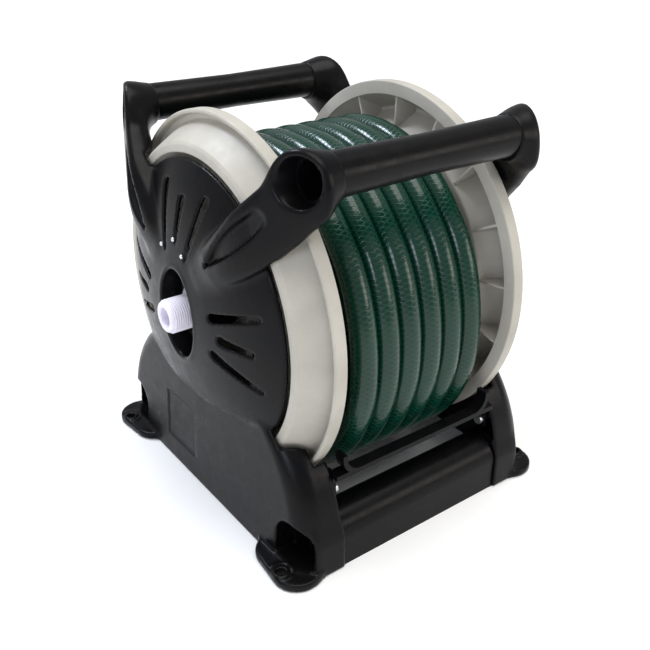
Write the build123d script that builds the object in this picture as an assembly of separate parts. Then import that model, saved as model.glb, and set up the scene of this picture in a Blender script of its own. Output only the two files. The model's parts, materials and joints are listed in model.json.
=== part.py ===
"""Free-standing garden hose reel: two side frames, four tubes between them, and a drum between the frames.

Millimetres. +Z is up, the drum's axis runs along X, the water inlet is at -X and the crank at +X.
The origin is on the ground, in the middle of the four foot screws.
"""
from build123d import *
import os
from math import cos, radians, sin

# ---- driving dimensions -------------------------------------------------------------------------
AXIS_Z = 168.0          # height of the drum's axis
FLANGE_R = 145.0        # drum flange, outer radius
WEB_X = 79.5            # |x| of the flange web's hose side
RIM_X = 89.0            # |x| of the rim's outer edge
LIP_X = 105.6           # |x| of the flange's outermost ring
LIP_R = 116.5           # inner radius of that ring
WALL = 3.0              # wall of the mouldings
BARREL_R = 79.0         # hose barrel, outer radius
DOME_EDGE_R = 114.5     # frame dome where it enters the flange's ring
DOME_TOP_X = 130.0      # |x| of the dome's crown
HANDLE_Y = 122.0        # carrying handles: half spacing
HANDLE_Z = 296.0        # and height
RAIL_Y = 124.5          # bottom rails: half spacing of their middles
RAIL_HALF_WIDTH = 18.5
RAIL_HEIGHT = 44.0
FOOT_HOLE_X = 125.0     # ground screws: half spacings
FOOT_HOLE_Y = 127.0
FOOT_HOLE_R = 3.5
HOSE_R = 10.15          # hose, outer radius
SPINDLE_R = 13.0        # water spindle in the frame hub
THREAD_R = 13.2         # 3/4 inch pipe thread, major radius
INLET_X = 139.0         # |x| of the inlet's mouth
RUN = 0.05              # radial running clearance
CRANK_RADIUS = 95.0     # crank throw
CRANK_X = 134.0         # |x| of the crank arm's inner face
RIB_COUNT = 17          # ribs across the hollow behind a flange's rim
RIB_THICK = 1.8

os.makedirs("parts", exist_ok=True)


# ---- helpers ------------------------------------------------------------------------------------
def rod(r, x0, x1, y=0.0, z=AXIS_Z):
    """A cylinder along X."""
    return Pos((x0 + x1) / 2, y, z) * Rot(0, 90, 0) * Cylinder(r, abs(x1 - x0))


def pipe(r_out, r_in, x0, x1, y=0.0, z=AXIS_Z):
    low, high = min(x0, x1), max(x0, x1)
    return rod(r_out, low, high, y, z) - rod(r_in, low - 1, high + 1, y, z)


def cone(x0, r0, x1, r1, y=0.0, z=AXIS_Z):
    """A cone frustum along X, radius r0 at x0 and r1 at x1, with x0 < x1."""
    return Pos((x0 + x1) / 2, y, z) * Rot(0, 90, 0) * Cone(r0, r1, x1 - x0)


def block(x0, x1, y0, y1, z0, z1):
    return Pos((x0 + x1) / 2, (y0 + y1) / 2, (z0 + z1) / 2) * Box(x1 - x0, y1 - y0, z1 - z0)


def spun(points):
    """The solid that a closed outline of (x, radius) points sweeps about the drum's axis."""
    outline = Polyline(*[(x, 0, r) for x, r in points], close=True)
    return Pos(0, 0, AXIS_Z) * revolve(make_face(outline), Axis.X)


def about_axis(shape, angle):
    """The shape turned about the drum's axis."""
    return Pos(0, 0, AXIS_Z) * Rot(angle, 0, 0) * Pos(0, 0, -AXIS_Z) * shape


def mirrored(shape):
    """The opposite-hand copy, on the other side of the drum."""
    return mirror(shape, about=Plane.YZ)


def save(node, *shapes):
    solids = [s for shape in shapes for s in shape.solids()]
    export_step(Compound(solids) if len(solids) > 1 else solids[0], f"parts/{node}.step")


# ---- side frame ---------------------------------------------------------------------------------
DOME_PROFILE = ((DOME_EDGE_R, 103.5), (DOME_EDGE_R, 105.0), (109.5, 108.5), (90.0, 116.5), (60.0, 124.5))
FLOOR_X = 111.0         # outer face of the inlet recess's floor
RECESS_HALF_Y = 24.0
RECESS_HALF_Z = 35.0
HUB_R = 20.0
HUB_END_X = 88.0        # inner end of the frame's hub
PEDESTAL_STATIONS = (   # (z, outer |x|, half length, corner radius)
    (0.0, 117.5, 144.0, 16.0), (45.0, 114.5, 141.0, 17.0),
    (78.0, 112.5, 127.0, 17.0), (110.0, 111.5, 98.0, 12.0))
PEDESTAL_INNER_X = 80.0
LUG_Z = 7.0             # top of a foot lug
DOME_FLOOR_Z = 97.0     # the dome's lower edge at its middle
MOUTH_X = 101.0         # |x| of an arm's mouth, on the handle's axis
HANDLE_END_X = 92.0     # |x| where a handle half ends in its arm's bell


def dome_solid(inset):
    """The dome's full body, with its outer skin moved in by inset."""
    edge_r, top_x = DOME_EDGE_R - inset, DOME_TOP_X - inset
    curve = Spline((-top_x, 0, 0.01), *[(inset - x, 0, r - inset) for r, x in DOME_PROFILE[:1:-1]],
                   (inset - DOME_PROFILE[1][1], 0, edge_r), tangents=((0, 0, 1), (0.9, 0, 0.45)))
    back_x = -DOME_PROFILE[0][1] + (inset > 0) * 1.0
    rest = Polyline((inset - DOME_PROFILE[1][1], 0, edge_r), (back_x, 0, edge_r), (back_x, 0, 0.01),
                    (-top_x, 0, 0.01))
    face = make_face(curve.edges() + rest.edges())
    return Pos(0, 0, AXIS_Z) * revolve(face, Axis.X)


def oval(half_y, half_z, x0, x1):
    """An upright oval column along X, around the drum's axis."""
    plane = Plane((x0, 0, AXIS_Z), x_dir=(0, 1, 0), z_dir=(1, 0, 0))
    return extrude(plane * Ellipse(half_y, half_z), x1 - x0)


def station(z, x_out, half_y, corner, x_in):
    """A pedestal section with its two outer corners rounded."""
    outline = Polyline((-x_in, -half_y), (-x_in, half_y), (-x_out, half_y), (-x_out, -half_y), close=True)
    face = make_face(outline)
    corners = [v for v in face.vertices() if abs(v.X + x_out) < 0.01]
    return Pos(0, 0, z) * fillet(corners, corner)


def pedestal():
    shell = loft([station(z, x, y, c, PEDESTAL_INNER_X) for z, x, y, c in PEDESTAL_STATIONS])
    hollow = loft([station(z - (z == 0) * 2.0, x - WALL, y - WALL, c - WALL + 0.5, PEDESTAL_INNER_X - 20)
                   for z, x, y, c in PEDESTAL_STATIONS])
    hollow = hollow - block(-150, 0, -200, 200, PEDESTAL_STATIONS[-1][0] - WALL, 200)
    return shell - hollow


def foot_lug(side):
    """A rounded lug with the raised rim of its screw hole; side is -1 at the front and 1 at the rear."""
    outer = (-112.0, side * 129.5)
    inner = (-109.5, side * 105.0)
    with BuildSketch() as plan:
        with Locations(outer, inner):
            Circle(20.0)
        make_hull()
    lug = extrude(plan.sketch, LUG_Z)
    return lug + Pos(-FOOT_HOLE_X, side * FOOT_HOLE_Y, 4.5) * Cylinder(6.2, 8.0)


ARM_SECTIONS = (        # (middle, half width, half depth), from the dome up to the handle
    ((-117.5, -20.0, 205.0), 19.0, 12.0), ((-117.5, -50.0, 230.0), 23.5, 12.0),
    ((-116.0, -84.0, 256.0), 22.5, 10.0), ((-105.0, -116.0, 284.0), 20.0, 16.0))


def arm_section(centre, half_width, half_depth):
    """An oval section of the arm, square to its run from the dome up to the handle."""
    rise = radians(36.0)
    plane = Plane(centre, x_dir=(1, 0, 0), z_dir=(0, -cos(rise), sin(rise)))
    return plane * Ellipse(half_depth, half_width)


def front_arm():
    """The horn from the dome to the front handle, with the bell that holds the handle's end."""
    horn = loft([arm_section(*section) for section in ARM_SECTIONS])
    bell = cone(-112.0, 19.5, -78.0, 16.5, -HANDLE_Y, HANDLE_Z)
    cut = Plane((-MOUTH_X, -HANDLE_Y, HANDLE_Z), z_dir=(-0.90, -0.34, 0.27))
    return (horn + bell) - cut * Pos(0, 0, 40) * Box(120, 120, 80)


def arm_bore():
    """The hollow through the bell, and the seat of the handle's end."""
    mouth = cone(-140.0, 20.5, -HANDLE_END_X - 2, 15.3, -HANDLE_Y, HANDLE_Z)
    seat = rod(15.3, -HANDLE_END_X - 2.5, -60.0, -HANDLE_Y, HANDLE_Z)
    return mouth + seat


def slot(angle, r0, r1, width):
    """A radial slot through the dome; the angle is measured from the rear towards the top."""
    cutter = Pos(-115, 0, AXIS_Z) * Pos(0, (r0 + r1) / 2, 0) * Box(50, r1 - r0, width)
    cutter = cutter + rod(width / 2, -140, -90, r0, AXIS_Z) + rod(width / 2, -140, -90, r1, AXIS_Z)
    return about_axis(cutter, angle)


def rail_arch(inset):
    """The section of a bottom rail: flat sides and a round top, open below."""
    half, top = RAIL_HALF_WIDTH - inset, RAIL_HEIGHT - inset
    base = -1.0 if inset else 0.0
    shoulder = top - half
    edges = [Line((-half, base), (half, base)), Line((half, base), (half, shoulder)),
             ThreePointArc((half, shoulder), (0, top), (-half, shoulder)),
             Line((-half, shoulder), (-half, base))]
    return make_face(edges)


def rail_run(x0, x1, inset, side=-1):
    plane = Plane((x0, side * RAIL_Y, 0), x_dir=(0, 1, 0), z_dir=(1, 0, 0))
    return extrude(plane * rail_arch(inset), x1 - x0)


def left_frame():
    dome = dome_solid(0) - dome_solid(WALL)
    dome_floor = Pos(-105, 0, DOME_FLOOR_Z - 30 + WALL) * Box(60, 190, 60)
    dome = (dome + (dome_solid(0) & dome_floor)) - block(-140, -60, -130, 130, 0, DOME_FLOOR_Z)
    recess = oval(RECESS_HALF_Y + WALL, RECESS_HALF_Z + WALL, -DOME_TOP_X - 5, -FLOOR_X + WALL)
    recess = (recess & dome_solid(0)) - oval(RECESS_HALF_Y, RECESS_HALF_Z, -140, -FLOOR_X)
    body = dome - oval(RECESS_HALF_Y, RECESS_HALF_Z, -140, -FLOOR_X) + recess
    body = body + rod(HUB_R, -FLOOR_X, -HUB_END_X)
    for angle in (0, 60, 120, 180, 240, 300):
        fin = block(-FLOOR_X + 1, -100.5, 15, 100, AXIS_Z - 1.25, AXIS_Z + 1.25)
        body = body + (about_axis(fin, angle) & dome_solid(0.5))
    body = body + pedestal()
    for side in (-1, 1):
        body = body + foot_lug(side)
    arm = front_arm()
    body = body + arm + mirror(arm, about=Plane.XZ)
    # clearances for the drum's flange, and the hollows of the arms and rails
    body = body - rod(FLANGE_R + 3.0, -RIM_X - 2.5, 0) - cone(-LIP_X - 2.0, 126.5, -RIM_X - 2.0, 135.0)
    body = body - arm_bore() - mirror(arm_bore(), about=Plane.XZ)
    body = body + (rod(DOME_EDGE_R, -FLOOR_X, -103.5) & dome)
    for side in (-1, 1):
        pocket = rail_run(-150, -96, WALL, side) & block(-150, -90, -200, 200, LUG_Z, 100)
        body = body - pocket - rail_run(-96.2, -60, -0.2, side)
    # vents, in three groups of three
    for middle in (0, 90, 180):
        for turn, r0, r1 in ((-17, 52, 95), (0, 58, 87), (17, 52, 95)):
            body = body - slot(middle + turn, r0, r1, 5.0)
    body = body - rod(SPINDLE_R + 0.05, -120, -80)
    for side in (-1, 1):
        body = body - Pos(-FOOT_HOLE_X, side * FOOT_HOLE_Y, 5) * Cylinder(FOOT_HOLE_R, 30)
    return body


# ---- tubes between the frames -------------------------------------------------------------------
SEAM_R = 13.8           # handle radius at the middle seam
HANDLE_END_R = 15.2


def handle_half():
    """The -X half of the front handle: a drafted tube, closed at the seam, with the joining screw's boss."""
    body = cone(-HANDLE_END_X, HANDLE_END_R, 0.0, SEAM_R, -HANDLE_Y, HANDLE_Z)
    body = body - cone(-HANDLE_END_X - 1, HANDLE_END_R - 2.6, -4.0, SEAM_R - 2.8, -HANDLE_Y, HANDLE_Z)
    body = body + rod(6.0, -14.0, -2.0, -HANDLE_Y, HANDLE_Z)
    return body - rod(2.05, -20.0, 1.0, -HANDLE_Y, HANDLE_Z)


def rail_half():
    """The -X half of the front rail: an open-bottomed arch with an end wall at the seam."""
    body = rail_run(-96.0, 0.0, 0.0) - rail_run(-97.0, -4.0, WALL)
    body = body + block(-96.0, -24.0, -RAIL_Y - 1.25, -RAIL_Y + 1.25, 0.0, RAIL_HEIGHT - 1)
    boss = rod(6.0, -14.0, -2.0, -RAIL_Y, 24.0)
    return (body + boss) - rod(2.05, -20.0, 1.0, -RAIL_Y, 24.0)


def joining_screw(y, z):
    """A long pan-head screw through both end walls at a seam."""
    return rod(4.0, -17.2, -14.0, y, z) + rod(2.0, -14.5, 12.0, y, z)


# ---- hose guard ---------------------------------------------------------------------------------
GUARD_Y = -130.0
GUARD_Z = 73.0          # underside of the strap
GUARD_HALF_DEPTH = 5.0
GUARD_THICK = 4.0
GUARD_END_X = 74.0      # outer |x| of the turned-up ends
GUARD_END_Z = 92.0
GUARD_BEND = 16.0
GUARD_TAB_Z = 54.0      # lower end of the tabs
GUARD_SCREW_Y = -125.0
GUARD_SCREW_Z = 60.0


def guard_outline(inset):
    """A shallow U with round corners, moved in by inset."""
    x, z, bend = GUARD_END_X - inset, GUARD_Z + inset, GUARD_BEND - inset
    top = GUARD_END_Z + 10 * (inset > 0)
    mid = bend * (1 - cos(radians(45)))
    return make_face([Line((bend - x, z), (x - bend, z)),
                      ThreePointArc((x - bend, z), (x - mid, z + mid), (x, z + bend)),
                      Line((x, z + bend), (x, top)), Line((x, top), (-x, top)),
                      Line((-x, top), (-x, z + bend)),
                      ThreePointArc((-x, z + bend), (mid - x, z + mid), (bend - x, z))])


def guard_strap():
    """A strap across the front below the hose, with turned-up ends, and tabs that reach the frames."""
    plane = Plane((0, GUARD_Y + GUARD_HALF_DEPTH, 0), x_dir=(1, 0, 0), z_dir=(0, -1, 0))
    depth = 2 * GUARD_HALF_DEPTH
    strap = extrude(plane * guard_outline(0), depth) - extrude(plane * guard_outline(GUARD_THICK), depth)
    y0, y1 = GUARD_Y - GUARD_HALF_DEPTH, GUARD_Y + GUARD_HALF_DEPTH
    for flip in (False, True):
        wing = block(54, 79.8, y0, y1, GUARD_Z, GUARD_Z + GUARD_THICK)
        wing = wing + block(76.8, 79.8, y0 + 5, y1 + 4, GUARD_TAB_Z, GUARD_Z + GUARD_THICK)
        strap = strap + (mirrored(wing) if flip else wing)
    for x in (-81, 75):
        strap = strap - rod(2.05, x, x + 6, GUARD_SCREW_Y, GUARD_SCREW_Z)
    return strap


def guard_post():
    """The boss on the left frame that a guard tab is screwed to."""
    post = block(-113.0, -79.8, GUARD_SCREW_Y - 6.5, GUARD_SCREW_Y + 6, GUARD_TAB_Z, GUARD_SCREW_Z + 6)
    return post - rod(2.05, -100, -70, GUARD_SCREW_Y, GUARD_SCREW_Z)


def guard_screw():
    head = rod(4.0, -76.8, -73.8, GUARD_SCREW_Y, GUARD_SCREW_Z)
    return head + rod(2.0, -92.0, -76.0, GUARD_SCREW_Y, GUARD_SCREW_Z)


# ---- drum ---------------------------------------------------------------------------------------
HUB_BORE_R = 16.5
SCREW_CIRCLE_R = 71.5
SCREW_ANGLES = (45, 135, 225, 315)


def flange():
    """The -X flange: web, cone, band and rim in one thin wall, with ribs across the hollow behind the rim."""
    wall = spun([(-68, HUB_BORE_R), (-68, 22), (-WEB_X, 22), (-WEB_X, 107), (-102.6, 119), (-102.6, 121.9),
                 (-80.5, 134.2), (-79, 134.2), (-79, FLANGE_R), (-RIM_X, FLANGE_R), (-RIM_X, 141.8),
                 (-82.2, 141.8), (-82.2, 137), (-104, 124.8), (-LIP_X, 123.5), (-LIP_X, LIP_R),
                 (-102.9, LIP_R), (-82.5, 104.5), (-82.5, HUB_BORE_R)])
    rib_plane = Plane((0, -RIB_THICK / 2, AXIS_Z), x_dir=(1, 0, 0), z_dir=(0, 1, 0))
    rib_outline = Polyline((-81, -106.6), (-103, -118), (-103, -122.6), (-81.5, -134.8), close=True)
    rib = extrude(rib_plane * make_face(rib_outline), RIB_THICK)
    for i in range(RIB_COUNT):
        wall = wall + about_axis(rib, i * 360 / RIB_COUNT)
    for angle in SCREW_ANGLES:
        wall = wall - about_axis(rod(2.05, -90, -70, SCREW_CIRCLE_R), angle)
    return wall


def barrel_half():
    body = pipe(BARREL_R, BARREL_R - WALL, -WEB_X, 0)
    for angle in SCREW_ANGLES:
        boss = rod(5.0, -WEB_X, -45, SCREW_CIRCLE_R) & rod(BARREL_R - 0.5, -90, 0)
        body = body + about_axis(boss, angle)
        body = body - about_axis(rod(2.05, -WEB_X - 1, -50, SCREW_CIRCLE_R), angle)
    return body


def flange_screw(angle):
    screw = rod(4.5, -85.3, -82.5, SCREW_CIRCLE_R) + rod(2.0, -83.0, -55.0, SCREW_CIRCLE_R)
    return about_axis(screw, angle)


# ---- water path ---------------------------------------------------------------------------------
SPINDLE_TIP_R = 11.0
OUTLET_ANGLE = 300.0    # where the outlet meets the barrel, from the rear towards the top
OUTLET_X = -57.0
TAIL_R = BARREL_R + HOSE_R
CONNECTOR_BACK = 20.0   # how far the tail connector reaches behind the outlet pipe
CONNECTOR_FRONT = 14.0


def spindle():
    """Threaded inlet, collar, and the tip that the swivel turns on."""
    body = rod(THREAD_R, -INLET_X, -115.0) + rod(18.0, -115.0, -FLOOR_X) + rod(SPINDLE_R, -112.0, -69.0)
    body = body + rod(SPINDLE_TIP_R, -70.0, -56.5)
    body = body - rod(7.5, -INLET_X - 1, -50)
    body = body - pipe(SPINDLE_R + 1, 11.4, -87.0, -85.6)
    for x in (-66.0, -61.5):
        body = body - pipe(SPINDLE_TIP_R + 1, 9.6, x, x + 2.2)
    return body


def swivel():
    """The cup that turns on the spindle's tip, and its pipe out to the barrel's skin."""
    outlet = about_axis(Pos(OUTLET_X, 42, AXIS_Z) * Rot(90, 0, 0) * Cylinder(8.0, 73.0), OUTLET_ANGLE)
    body = rod(15.5, -67.8, -44.0) + outlet
    body = body - rod(SPINDLE_TIP_R + RUN, -70, -48)
    bore = about_axis(Pos(OUTLET_X + 1.5, 45, AXIS_Z) * Rot(90, 0, 0) * Cylinder(5.0, 75.0), OUTLET_ANGLE)
    return body - bore


def in_tangent(shape):
    """Places a shape made at the barrel's top, with +Y along the hose, at the outlet, so that the hose runs
    from there by way of the top towards the front."""
    return about_axis(mirror(shape, about=Plane.XZ), OUTLET_ANGLE - 90)


def tail_connector():
    """The socket over the outlet pipe, and the nozzle that the hose's inner end is pushed on."""
    z = AXIS_Z + TAIL_R
    body = Pos(OUTLET_X, -2, z) * Rot(90, 0, 0) * Cylinder(9.0, 24.0)
    body = body + Pos(OUTLET_X, 0, AXIS_Z + 82.5) * Cylinder(10.5, 6.4)
    return in_tangent(body & block(-90, 0, -50, 50, AXIS_Z + BARREL_R, AXIS_Z + 120))


def tail_nut():
    z = AXIS_Z + TAIL_R
    ring = Pos(OUTLET_X, 12.3, z) * Rot(90, 0, 0) * Cylinder(11.5, 3.4)
    return in_tangent(ring & block(-90, 0, -50, 50, AXIS_Z + BARREL_R + 0.2, AXIS_Z + 120))


# ---- hose ---------------------------------------------------------------------------------------
# Radius of the outer layer's middle line about the drum's axis. The angle runs from the top towards
# the front: the turns lie tight on top and hang loose below.
OUTER_LAYER = ((0, 109.4), (45, 109.2), (75, 115.5), (90, 120.8), (112, 129.6), (135, 137.8), (158, 141.0),
               (180, 139.5), (215, 133.5), (250, 127.0), (285, 121.0), (320, 113.5))
PACK_X0 = -53.8         # the outer layer's ends
PACK_X1 = 68.1
INNER_X0 = -76.5        # the inner layer's start
HOSE_END_TURN = 232.0   # where the outer layer ends, from the top towards the front
HOSE_END_X = -57.0
END_LENGTH = 52.0
END_R = 12.5


def layer_r(turn):
    """The outer layer's middle radius at an angle, by the smooth closed curve through OUTER_LAYER."""
    count = len(OUTER_LAYER)
    turn = turn % 360
    for i in range(count):
        a0, r0 = OUTER_LAYER[i]
        a1, r1 = OUTER_LAYER[(i + 1) % count]
        a1 = a1 + (360 if a1 <= a0 else 0)
        if a0 <= turn <= a1:
            t = (turn - a0) / (a1 - a0)
            return r0 + (r1 - r0) * (3 * t * t - 2 * t ** 3)
    return OUTER_LAYER[0][1]


def at_turn(turn, r):
    """(y, z) of a point at an angle from the top towards the front."""
    return (-r * sin(radians(turn)), AXIS_Z + r * cos(radians(turn)))


def along_end(shape):
    """Places a shape made at the top, with -Y along the hose, where the outer layer ends."""
    return about_axis(shape, HOSE_END_TURN)


def hose_winding():
    """The two layers' outer shape, without the places of the connectors at the hose's two ends."""
    points = [at_turn(a, r + HOSE_R) for a, r in OUTER_LAYER]
    plane = Plane((PACK_X0, 0, 0), x_dir=(0, 1, 0), z_dir=(1, 0, 0))
    pack = extrude(plane * make_face(Spline(*points, periodic=True)), PACK_X1 - PACK_X0)
    inner = rod(TAIL_R + HOSE_R, INNER_X0, PACK_X0 + 1)
    body = (pack + inner) - rod(BARREL_R, INNER_X0 - 1, PACK_X1 + 1)
    tail = block(INNER_X0 - 1, -44.0, -CONNECTOR_BACK, CONNECTOR_FRONT, AXIS_Z + 70, AXIS_Z + 103)
    body = body - in_tangent(tail)
    r = layer_r(HOSE_END_TURN)
    end = block(HOSE_END_X - 14, HOSE_END_X + 13.2, -END_LENGTH - 3, 0, AXIS_Z + r - 14.5, AXIS_Z + r + 40)
    return body - along_end(end)


def hose_end():
    """The quick connector on the hose's free end: nut, body and grip ring."""
    r = layer_r(HOSE_END_TURN)

    def ring(radius, y0, y1):
        return Pos(HOSE_END_X, (y0 + y1) / 2, AXIS_Z + r) * Rot(90, 0, 0) * Cylinder(radius, abs(y1 - y0))

    body = ring(END_R, 0, -20) + ring(10.5, -20, -26) + ring(END_R, -26, -END_LENGTH)
    return along_end(body - ring(8.0, -30, -END_LENGTH - 1))


# ---- crank --------------------------------------------------------------------------------------
SHAFT_R = 11.0
SHAFT_INNER_X = 66.0


def crank_shaft():
    """The drum's driving shaft: flange bolted to the web's hub, journal, square end."""
    body = rod(HUB_BORE_R - 0.05, 60.0, 82.5) + rod(24.0, 62.0, 67.9) + rod(SHAFT_R, 82.0, CRANK_X)
    body = body + Pos(CRANK_X + 4, 0, AXIS_Z) * Box(9.0, 14.0, 14.0)
    body = body - pipe(SHAFT_R + 1, 9.8, 112.8, 114.1)
    return body - rod(2.05, 115, CRANK_X + 10)


def crank_arm():
    """A cranked strap from the square end down to the knob's pin."""
    hub = rod(19.0, CRANK_X, CRANK_X + 8.5)
    pin_z = AXIS_Z - CRANK_RADIUS
    with BuildSketch(Plane((CRANK_X, 0, 0), x_dir=(0, 1, 0), z_dir=(1, 0, 0))) as outline:
        with Locations((0, AXIS_Z)):
            Circle(17.0)
        with Locations((0, pin_z)):
            Circle(11.0)
        make_hull()
    arm = extrude(outline.sketch, 8.0)
    body = hub + arm
    body = body - Pos(CRANK_X, 0, AXIS_Z) * Box(40.0, 14.05, 14.05)
    return body - rod(4.0, CRANK_X - 1, CRANK_X + 20, 0, pin_z)


def save_all():
    frame = left_frame() + guard_post()
    left = max(frame.solids(), key=lambda s: s.volume)
    save("left_side_frame", left)
    save("right_side_frame", mirrored(left))

    handle, rail = handle_half(), rail_half()
    rear_handle, rear_rail = mirror(handle, about=Plane.XZ), mirror(rail, about=Plane.XZ)
    for name, half in (("front_handle", handle), ("rear_handle", rear_handle), ("front_rail", rail),
                       ("rear_rail", rear_rail)):
        save(f"{name}_left", half)
        save(f"{name}_right", mirrored(half))
    save("joining_screws", *[joining_screw(y, z) for side in (-1, 1)
                             for y, z in ((side * HANDLE_Y, HANDLE_Z), (side * RAIL_Y, 24.0))])
    save("hose_guard", guard_strap())
    save("guard_screws", guard_screw(), mirrored(guard_screw()))

    left_flange, half_barrel = flange(), barrel_half()
    outlet_hole = about_axis(Pos(OUTLET_X, 80, AXIS_Z) * Rot(90, 0, 0) * Cylinder(8.2, 20), OUTLET_ANGLE)
    save("left_flange", left_flange)
    save("right_flange", mirrored(left_flange))
    save("left_barrel_half", half_barrel - outlet_hole)
    save("right_barrel_half", mirrored(half_barrel))
    screws = [flange_screw(a) for a in SCREW_ANGLES]
    save("flange_screws", *screws, *[mirrored(s) for s in screws])

    save("inlet_spindle", spindle())
    save("spindle_clip", pipe(17.5, 11.45, -86.9, -85.7) - block(-90, -80, -8, 8, AXIS_Z, AXIS_Z + 30))
    save("spindle_o_rings", *[pipe(SPINDLE_TIP_R, 9.65, x + 0.1, x + 2.1) for x in (-66.0, -61.5)])
    save("left_drum_bush", pipe(HUB_BORE_R - RUN, SPINDLE_R + 0.02, -84.0, -69.2))
    save("swivel_elbow", swivel())
    save("tail_connector", tail_connector())
    save("tail_nut", tail_nut())
    save("hose_winding", hose_winding())
    save("hose_end_connector", hose_end())

    save("crank_shaft", crank_shaft())
    save("right_drum_bush", pipe(SPINDLE_R, SHAFT_R + RUN, HUB_END_X - 2, FLOOR_X) +
         pipe(19.0, SHAFT_R + RUN, HUB_END_X - 3.5, HUB_END_X - 0.5))
    save("shaft_clip", pipe(15.0, 9.85, 112.9, 114.0) - block(110, 116, -6, 6, AXIS_Z, AXIS_Z + 30))
    save("crank_arm", crank_arm())
    save("crank_screw", rod(9.0, CRANK_X + 8.6, CRANK_X + 10.4) + rod(5.0, CRANK_X + 10, CRANK_X + 13) +
         rod(2.0, 118, CRANK_X + 11))
    pin_z = AXIS_Z - CRANK_RADIUS
    knob_x = CRANK_X + 9.0
    save("knob_pin", rod(3.98, CRANK_X, knob_x, 0, pin_z) + rod(4.0, knob_x - 0.5, knob_x + 42, 0, pin_z) +
         rod(6.5, knob_x + 42, knob_x + 44, 0, pin_z))
    knob = spun([(knob_x, 0.1), (knob_x, 12.0), (knob_x + 3, 14.0), (knob_x + 10, 12.5), (knob_x + 28, 15.5),
                 (knob_x + 44, 15.0), (knob_x + 50, 10.0), (knob_x + 50, 0.1)])
    knob = Pos(0, 0, -CRANK_RADIUS) * knob - rod(4.0 + RUN, knob_x - 1, knob_x + 42, 0, pin_z)
    knob = knob - rod(8.0, knob_x + 41.5, knob_x + 60, 0, pin_z)
    save("crank_knob", knob)
    save("knob_cap", rod(8.0, knob_x + 46.5, knob_x + 50, 0, pin_z))


save_all()
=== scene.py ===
"""Looks of a free-standing garden hose reel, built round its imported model.

Metres, +Z up. The drum's axis runs along X at the height AXIS_Z. The water inlet is at -X, the crank at +X.
A turn is an angle about that axis, from the top towards the front (-Y).
"""
import json
import math

import bmesh
import bpy
import numpy as np
from mathutils import Matrix, Vector


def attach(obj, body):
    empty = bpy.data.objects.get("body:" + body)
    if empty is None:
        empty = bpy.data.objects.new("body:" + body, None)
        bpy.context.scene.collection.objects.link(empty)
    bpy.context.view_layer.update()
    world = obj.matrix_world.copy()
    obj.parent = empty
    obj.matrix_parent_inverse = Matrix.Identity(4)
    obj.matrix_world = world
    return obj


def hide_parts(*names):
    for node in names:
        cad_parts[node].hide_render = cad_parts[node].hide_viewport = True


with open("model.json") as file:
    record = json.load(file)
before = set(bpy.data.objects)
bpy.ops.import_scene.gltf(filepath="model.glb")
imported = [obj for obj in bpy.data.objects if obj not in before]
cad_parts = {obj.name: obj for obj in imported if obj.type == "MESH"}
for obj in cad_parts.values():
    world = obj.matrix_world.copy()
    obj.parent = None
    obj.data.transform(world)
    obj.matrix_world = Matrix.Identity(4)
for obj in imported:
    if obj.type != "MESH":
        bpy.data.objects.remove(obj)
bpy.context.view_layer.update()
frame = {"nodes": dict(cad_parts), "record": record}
nodes = frame["nodes"]

MM = 0.001
AXIS_Z = 0.168


# ---- small helpers ------------------------------------------------------------------------------
def linear(hex_colour):
    """An sRGB hex colour as linear RGBA."""
    channels = [int(hex_colour[i:i + 2], 16) / 255 for i in (1, 3, 5)]
    return (*[c / 12.92 if c <= 0.04045 else ((c + 0.055) / 1.055) ** 2.4 for c in channels], 1.0)


def add(tree, kind, links=(), **settings):
    """A node with its sockets and properties set; links are (source socket, input name or number)."""
    new = tree.nodes.new(kind)
    for name, value in settings.items():
        if name.startswith("in_"):
            socket = name[3:]
            new.inputs[int(socket) if socket.isdigit() else socket.replace("_", " ")].default_value = value
        else:
            setattr(new, name, value)
    for source, target in links:
        tree.links.new(source, new.inputs[target])
    return new


def ramp(tree, source, stops):
    """A colour ramp over source; stops are (position, colour or grey)."""
    new = add(tree, "ShaderNodeValToRGB", [(source, "Fac")])
    points = new.color_ramp.elements
    while len(points) < len(stops):
        points.new(0.5)
    for point, (position, colour) in zip(points, stops):
        point.position = position
        point.color = colour if not isinstance(colour, float) else (colour, colour, colour, 1.0)
    return new


def begin(name, **constants):
    """A new material: its tree and its Principled shader with the constant sockets set."""
    material = bpy.data.materials.new(name)
    material.use_nodes = True
    tree = material.node_tree
    tree.nodes.clear()
    shader = tree.nodes.new("ShaderNodeBsdfPrincipled")
    for socket, value in constants.items():
        shader.inputs[socket.replace("_", " ")].default_value = value
    output = tree.nodes.new("ShaderNodeOutputMaterial")
    tree.links.new(shader.outputs["BSDF"], output.inputs["Surface"])
    return material, tree, shader


def smoothstep(t):
    """From nought to one as t does, with a soft start and end."""
    t = min(max(t, 0.0), 1.0)
    return t * t * (3 - 2 * t)


def link(piece):
    """Puts a new object in the scene."""
    bpy.context.scene.collection.objects.link(piece)
    return piece


def settled(piece):
    """A plain mesh of the piece as its modifiers leave it."""
    bpy.context.view_layer.update()
    return bpy.data.meshes.new_from_object(piece.evaluated_get(bpy.context.evaluated_depsgraph_get()))


def joined(name, *meshes):
    """One mesh of several, as a shell each."""
    bm = bmesh.new()
    for mesh in meshes:
        bm.from_mesh(mesh)
    return mesh_of(bm, name)


def place_piece(piece, body, slot, *stands_for):
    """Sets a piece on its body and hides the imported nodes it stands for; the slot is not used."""
    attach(piece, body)
    if stands_for:
        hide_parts(*stands_for)
    return piece


def mesh_of(bm, name, material=None):
    """The finished mesh of an edit mesh, which is freed."""
    mesh = bpy.data.meshes.new(name)
    bm.to_mesh(mesh)
    bm.free()
    if material:
        mesh.materials.append(material)
    return mesh


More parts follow.
